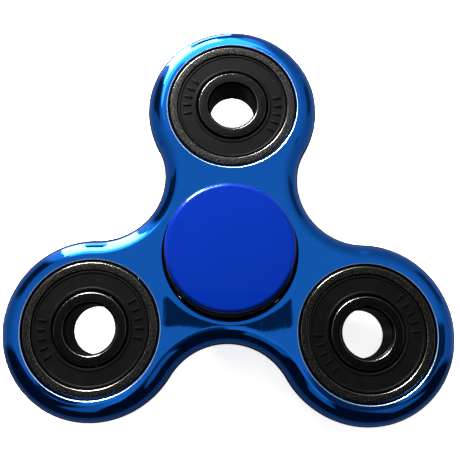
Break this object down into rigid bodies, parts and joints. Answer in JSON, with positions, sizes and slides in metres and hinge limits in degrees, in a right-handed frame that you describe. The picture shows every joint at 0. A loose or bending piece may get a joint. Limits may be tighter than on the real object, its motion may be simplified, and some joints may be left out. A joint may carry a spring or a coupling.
{
  "type": "hand spinner",
  "caption": "Three-lobed hand spinner: a plated shell that turns on a central ball bearing between two finger caps, with a sealed bearing in each lobe.",
  "frame": {"origin": "centre of the middle bearing, on the spin axis, half way through the shell", "axes": "+Z along the spin axis, out of the upper finger cap; +Y towards the first lobe"},
  "size_m": [0.0742, 0.0681, 0.017],
  "materials": {
    "plated_shell": "polished",
    "cap": "gloss",
    "ring_steel": "satin",
    "ball_steel": "polished",
    "cage_steel": "satin",
    "rivet_steel": "satin",
    "seal_rubber": "matte"
  },
  "bodies": {
    "hub": {"cap_top": "cap", "cap_bottom": "cap", "hub_inner_ring": "ring_steel"},
    "rotor": {"shell": "plated_shell", "hub_outer_ring": "ring_steel", "hub_seal_top": "seal_rubber", "hub_seal_bottom": "seal_rubber", "lobe_a_outer_ring": "ring_steel", "lobe_a_seal_top": "seal_rubber", "lobe_a_seal_bottom": "seal_rubber", "lobe_b_outer_ring": "ring_steel", "lobe_b_seal_top": "seal_rubber", "lobe_b_seal_bottom": "seal_rubber", "lobe_c_outer_ring": "ring_steel", "lobe_c_seal_top": "seal_rubber", "lobe_c_seal_bottom": "seal_rubber"},
    "hub_cage": {"hub_cage_top": "cage_steel", "hub_cage_bottom": "cage_steel", "hub_rivets": "rivet_steel"},
    "hub_ball_1_body": {"hub_ball_1": "ball_steel"},
    "hub_ball_2_body": {"hub_ball_2": "ball_steel"},
    "hub_ball_3_body": {"hub_ball_3": "ball_steel"},
    "hub_ball_4_body": {"hub_ball_4": "ball_steel"},
    "hub_ball_5_body": {"hub_ball_5": "ball_steel"},
    "hub_ball_6_body": {"hub_ball_6": "ball_steel"},
    "hub_ball_7_body": {"hub_ball_7": "ball_steel"},
    "lobe_a_inner": {"lobe_a_inner_ring": "ring_steel"},
    "lobe_a_cage": {"lobe_a_cage_top": "cage_steel", "lobe_a_cage_bottom": "cage_steel", "lobe_a_rivets": "rivet_steel"},
    "lobe_a_ball_1_body": {"lobe_a_ball_1": "ball_steel"},
    "lobe_a_ball_2_body": {"lobe_a_ball_2": "ball_steel"},
    "lobe_a_ball_3_body": {"lobe_a_ball_3": "ball_steel"},
    "lobe_a_ball_4_body": {"lobe_a_ball_4": "ball_steel"},
    "lobe_a_ball_5_body": {"lobe_a_ball_5": "ball_steel"},
    "lobe_a_ball_6_body": {"lobe_a_ball_6": "ball_steel"},
    "lobe_a_ball_7_body": {"lobe_a_ball_7": "ball_steel"},
    "lobe_b_inner": {"lobe_b_inner_ring": "ring_steel"},
    "lobe_b_cage": {"lobe_b_cage_top": "cage_steel", "lobe_b_cage_bottom": "cage_steel", "lobe_b_rivets": "rivet_steel"},
    "lobe_b_ball_1_body": {"lobe_b_ball_1": "ball_steel"},
    "lobe_b_ball_2_body": {"lobe_b_ball_2": "ball_steel"},
    "lobe_b_ball_3_body": {"lobe_b_ball_3": "ball_steel"},
    "lobe_b_ball_4_body": {"lobe_b_ball_4": "ball_steel"},
    "lobe_b_ball_5_body": {"lobe_b_ball_5": "ball_steel"},
    "lobe_b_ball_6_body": {"lobe_b_ball_6": "ball_steel"},
    "lobe_b_ball_7_body": {"lobe_b_ball_7": "ball_steel"},
    "lobe_c_inner": {"lobe_c_inner_ring": "ring_steel"},
    "lobe_c_cage": {"lobe_c_cage_top": "cage_steel", "lobe_c_cage_bottom": "cage_steel", "lobe_c_rivets": "rivet_steel"},
    "lobe_c_ball_1_body": {"lobe_c_ball_1": "ball_steel"},
    "lobe_c_ball_2_body": {"lobe_c_ball_2": "ball_steel"},
    "lobe_c_ball_3_body": {"lobe_c_ball_3": "ball_steel"},
    "lobe_c_ball_4_body": {"lobe_c_ball_4": "ball_steel"},
    "lobe_c_ball_5_body": {"lobe_c_ball_5": "ball_steel"},
    "lobe_c_ball_6_body": {"lobe_c_ball_6": "ball_steel"},
    "lobe_c_ball_7_body": {"lobe_c_ball_7": "ball_steel"}
  },
  "joints": [
    {"name": "rotor_spin", "type": "hinge", "parent": "hub", "child": "rotor", "pos_m": [0, 0, 0], "axis": [0, 0, 1], "continuous": true},
    {"name": "hub_cage_turn", "type": "hinge", "parent": "hub", "child": "hub_cage", "pos_m": [0, 0, 0], "axis": [0, 0, 1], "continuous": true},
    {"name": "hub_ball_1_roll", "type": "hinge", "parent": "hub_cage", "child": "hub_ball_1_body", "pos_m": [0.0075, 0, 0], "axis": [0, 0, 1], "continuous": true},
    {"name": "hub_ball_2_roll", "type": "hinge", "parent": "hub_cage", "child": "hub_ball_2_body", "pos_m": [0.00468, 0.00586, 0], "axis": [0, 0, 1], "continuous": true},
    {"name": "hub_ball_3_roll", "type": "hinge", "parent": "hub_cage", "child": "hub_ball_3_body", "pos_m": [-0.00167, 0.00731, 0], "axis": [0, 0, 1], "continuous": true},
    {"name": "hub_ball_4_roll", "type": "hinge", "parent": "hub_cage", "child": "hub_ball_4_body", "pos_m": [-0.00676, 0.00325, 0], "axis": [0, 0, 1], "continuous": true},
    {"name": "hub_ball_5_roll", "type": "hinge", "parent": "hub_cage", "child": "hub_ball_5_body", "pos_m": [-0.00676, -0.00325, 0], "axis": [0, 0, 1], "continuous": true},
    {"name": "hub_ball_6_roll", "type": "hinge", "parent": "hub_cage", "child": "hub_ball_6_body", "pos_m": [-0.00167, -0.00731, 0], "axis": [0, 0, 1], "continuous": true},
    {"name": "hub_ball_7_roll", "type": "hinge", "parent": "hub_cage", "child": "hub_ball_7_body", "pos_m": [0.00468, -0.00586, 0], "axis": [0, 0, 1], "continuous": true},
    {"name": "lobe_a_inner_turn", "type": "hinge", "parent": "rotor", "child": "lobe_a_inner", "pos_m": [0, 0.0257, 0], "axis": [0, 0, 1], "continuous": true},
    {"name": "lobe_a_cage_turn", "type": "hinge", "parent": "rotor", "child": "lobe_a_cage", "pos_m": [0, 0.0257, 0], "axis": [0, 0, 1], "continuous": true},
    {"name": "lobe_a_ball_1_roll", "type": "hinge", "parent": "lobe_a_cage", "child": "lobe_a_ball_1_body", "pos_m": [0.0075, 0.0257, 0], "axis": [0, 0, 1], "continuous": true},
    {"name": "lobe_a_ball_2_roll", "type": "hinge", "parent": "lobe_a_cage", "child": "lobe_a_ball_2_body", "pos_m": [0.00468, 0.03156, 0], "axis": [0, 0, 1], "continuous": true},
    {"name": "lobe_a_ball_3_roll", "type": "hinge", "parent": "lobe_a_cage", "child": "lobe_a_ball_3_body", "pos_m": [-0.00167, 0.03301, 0], "axis": [0, 0, 1], "continuous": true},
    {"name": "lobe_a_ball_4_roll", "type": "hinge", "parent": "lobe_a_cage", "child": "lobe_a_ball_4_body", "pos_m": [-0.00676, 0.02895, 0], "axis": [0, 0, 1], "continuous": true},
    {"name": "lobe_a_ball_5_roll", "type": "hinge", "parent": "lobe_a_cage", "child": "lobe_a_ball_5_body", "pos_m": [-0.00676, 0.02245, 0], "axis": [0, 0, 1], "continuous": true},
    {"name": "lobe_a_ball_6_roll", "type": "hinge", "parent": "lobe_a_cage", "child": "lobe_a_ball_6_body", "pos_m": [-0.00167, 0.01839, 0], "axis": [0, 0, 1], "continuous": true},
    {"name": "lobe_a_ball_7_roll", "type": "hinge", "parent": "lobe_a_cage", "child": "lobe_a_ball_7_body", "pos_m": [0.00468, 0.01984, 0], "axis": [0, 0, 1], "continuous": true},
    {"name": "lobe_b_inner_turn", "type": "hinge", "parent": "rotor", "child": "lobe_b_inner", "pos_m": [-0.02226, -0.01285, 0], "axis": [0, 0, 1], "continuous": true},
    {"name": "lobe_b_cage_turn", "type": "hinge", "parent": "rotor", "child": "lobe_b_cage", "pos_m": [-0.02226, -0.01285, 0], "axis": [0, 0, 1], "continuous": true},
    {"name": "lobe_b_ball_1_roll", "type": "hinge", "parent": "lobe_b_cage", "child": "lobe_b_ball_1_body", "pos_m": [-0.01476, -0.01285, 0], "axis": [0, 0, 1], "continuous": true},
    {"name": "lobe_b_ball_2_roll", "type": "hinge", "parent": "lobe_b_cage", "child": "lobe_b_ball_2_body", "pos_m": [-0.01758, -0.00699, 0], "axis": [0, 0, 1], "continuous": true},
    {"name": "lobe_b_ball_3_roll", "type": "hinge", "parent": "lobe_b_cage", "child": "lobe_b_ball_3_body", "pos_m": [-0.02393, -0.00554, 0], "axis": [0, 0, 1], "continuous": true},
    {"name": "lobe_b_ball_4_roll", "type": "hinge", "parent": "lobe_b_cage", "child": "lobe_b_ball_4_body", "pos_m": [-0.02901, -0.0096, 0], "axis": [0, 0, 1], "continuous": true},
    {"name": "lobe_b_ball_5_roll", "type": "hinge", "parent": "lobe_b_cage", "child": "lobe_b_ball_5_body", "pos_m": [-0.02901, -0.0161, 0], "axis": [0, 0, 1], "continuous": true},
    {"name": "lobe_b_ball_6_roll", "type": "hinge", "parent": "lobe_b_cage", "child": "lobe_b_ball_6_body", "pos_m": [-0.02393, -0.02016, 0], "axis": [0, 0, 1], "continuous": true},
    {"name": "lobe_b_ball_7_roll", "type": "hinge", "parent": "lobe_b_cage", "child": "lobe_b_ball_7_body", "pos_m": [-0.01758, -0.01871, 0], "axis": [0, 0, 1], "continuous": true},
    {"name": "lobe_c_inner_turn", "type": "hinge", "parent": "rotor", "child": "lobe_c_inner", "pos_m": [0.02226, -0.01285, 0], "axis": [0, 0, 1], "continuous": true},
    {"name": "lobe_c_cage_turn", "type": "hinge", "parent": "rotor", "child": "lobe_c_cage", "pos_m": [0.02226, -0.01285, 0], "axis": [0, 0, 1], "continuous": true},
    {"name": "lobe_c_ball_1_roll", "type": "hinge", "parent": "lobe_c_cage", "child": "lobe_c_ball_1_body", "pos_m": [0.02976, -0.01285, 0], "axis": [0, 0, 1], "continuous": true},
    {"name": "lobe_c_ball_2_roll", "type": "hinge", "parent": "lobe_c_cage", "child": "lobe_c_ball_2_body", "pos_m": [0.02693, -0.00699, 0], "axis": [0, 0, 1], "continuous": true},
    {"name": "lobe_c_ball_3_roll", "type": "hinge", "parent": "lobe_c_cage", "child": "lobe_c_ball_3_body", "pos_m": [0.02059, -0.00554, 0], "axis": [0, 0, 1], "continuous": true},
    {"name": "lobe_c_ball_4_roll", "type": "hinge", "parent": "lobe_c_cage", "child": "lobe_c_ball_4_body", "pos_m": [0.0155, -0.0096, 0], "axis": [0, 0, 1], "continuous": true},
    {"name": "lobe_c_ball_5_roll", "type": "hinge", "parent": "lobe_c_cage", "child": "lobe_c_ball_5_body", "pos_m": [0.0155, -0.0161, 0], "axis": [0, 0, 1], "continuous": true},
    {"name": "lobe_c_ball_6_roll", "type": "hinge", "parent": "lobe_c_cage", "child": "lobe_c_ball_6_body", "pos_m": [0.02059, -0.02016, 0], "axis": [0, 0, 1], "continuous": true},
    {"name": "lobe_c_ball_7_roll", "type": "hinge", "parent": "lobe_c_cage", "child": "lobe_c_ball_7_body", "pos_m": [0.02693, -0.01871, 0], "axis": [0, 0, 1], "continuous": true}
  ],
  "couplings": [
    {"joint": "hub_cage_turn", "follows": "rotor_spin", "ratio": 0.632},
    {"joint": "hub_ball_1_roll", "follows": "rotor_spin", "ratio": 1.7619},
    {"joint": "hub_ball_2_roll", "follows": "rotor_spin", "ratio": 1.7619},
    {"joint": "hub_ball_3_roll", "follows": "rotor_spin", "ratio": 1.7619},
    {"joint": "hub_ball_4_roll", "follows": "rotor_spin", "ratio": 1.7619},
    {"joint": "hub_ball_5_roll", "follows": "rotor_spin", "ratio": 1.7619},
    {"joint": "hub_ball_6_roll", "follows": "rotor_spin", "ratio": 1.7619},
    {"joint": "hub_ball_7_roll", "follows": "rotor_spin", "ratio": 1.7619},
    {"joint": "lobe_a_cage_turn", "follows": "lobe_a_inner_turn", "ratio": 0.368},
    {"joint": "lobe_a_ball_1_roll", "follows": "lobe_a_inner_turn", "ratio": -1.7619},
    {"joint": "lobe_a_ball_2_roll", "follows": "lobe_a_inner_turn", "ratio": -1.7619},
    {"joint": "lobe_a_ball_3_roll", "follows": "lobe_a_inner_turn", "ratio": -1.7619},
    {"joint": "lobe_a_ball_4_roll", "follows": "lobe_a_inner_turn", "ratio": -1.7619},
    {"joint": "lobe_a_ball_5_roll", "follows": "lobe_a_inner_turn", "ratio": -1.7619},
    {"joint": "lobe_a_ball_6_roll", "follows": "lobe_a_inner_turn", "ratio": -1.7619},
    {"joint": "lobe_a_ball_7_roll", "follows": "lobe_a_inner_turn", "ratio": -1.7619},
    {"joint": "lobe_b_cage_turn", "follows": "lobe_b_inner_turn", "ratio": 0.368},
    {"joint": "lobe_b_ball_1_roll", "follows": "lobe_b_inner_turn", "ratio": -1.7619},
    {"joint": "lobe_b_ball_2_roll", "follows": "lobe_b_inner_turn", "ratio": -1.7619},
    {"joint": "lobe_b_ball_3_roll", "follows": "lobe_b_inner_turn", "ratio": -1.7619},
    {"joint": "lobe_b_ball_4_roll", "follows": "lobe_b_inner_turn", "ratio": -1.7619},
    {"joint": "lobe_b_ball_5_roll", "follows": "lobe_b_inner_turn", "ratio": -1.7619},
    {"joint": "lobe_b_ball_6_roll", "follows": "lobe_b_inner_turn", "ratio": -1.7619},
    {"joint": "lobe_b_ball_7_roll", "follows": "lobe_b_inner_turn", "ratio": -1.7619},
    {"joint": "lobe_c_cage_turn", "follows": "lobe_c_inner_turn", "ratio": 0.368},
    {"joint": "lobe_c_ball_1_roll", "follows": "lobe_c_inner_turn", "ratio": -1.7619},
    {"joint": "lobe_c_ball_2_roll", "follows": "lobe_c_inner_turn", "ratio": -1.7619},
    {"joint": "lobe_c_ball_3_roll", "follows": "lobe_c_inner_turn", "ratio": -1.7619},
    {"joint": "lobe_c_ball_4_roll", "follows": "lobe_c_inner_turn", "ratio": -1.7619},
    {"joint": "lobe_c_ball_5_roll", "follows": "lobe_c_inner_turn", "ratio": -1.7619},
    {"joint": "lobe_c_ball_6_roll", "follows": "lobe_c_inner_turn", "ratio": -1.7619},
    {"joint": "lobe_c_ball_7_roll", "follows": "lobe_c_inner_turn", "ratio": -1.7619}
  ]
}
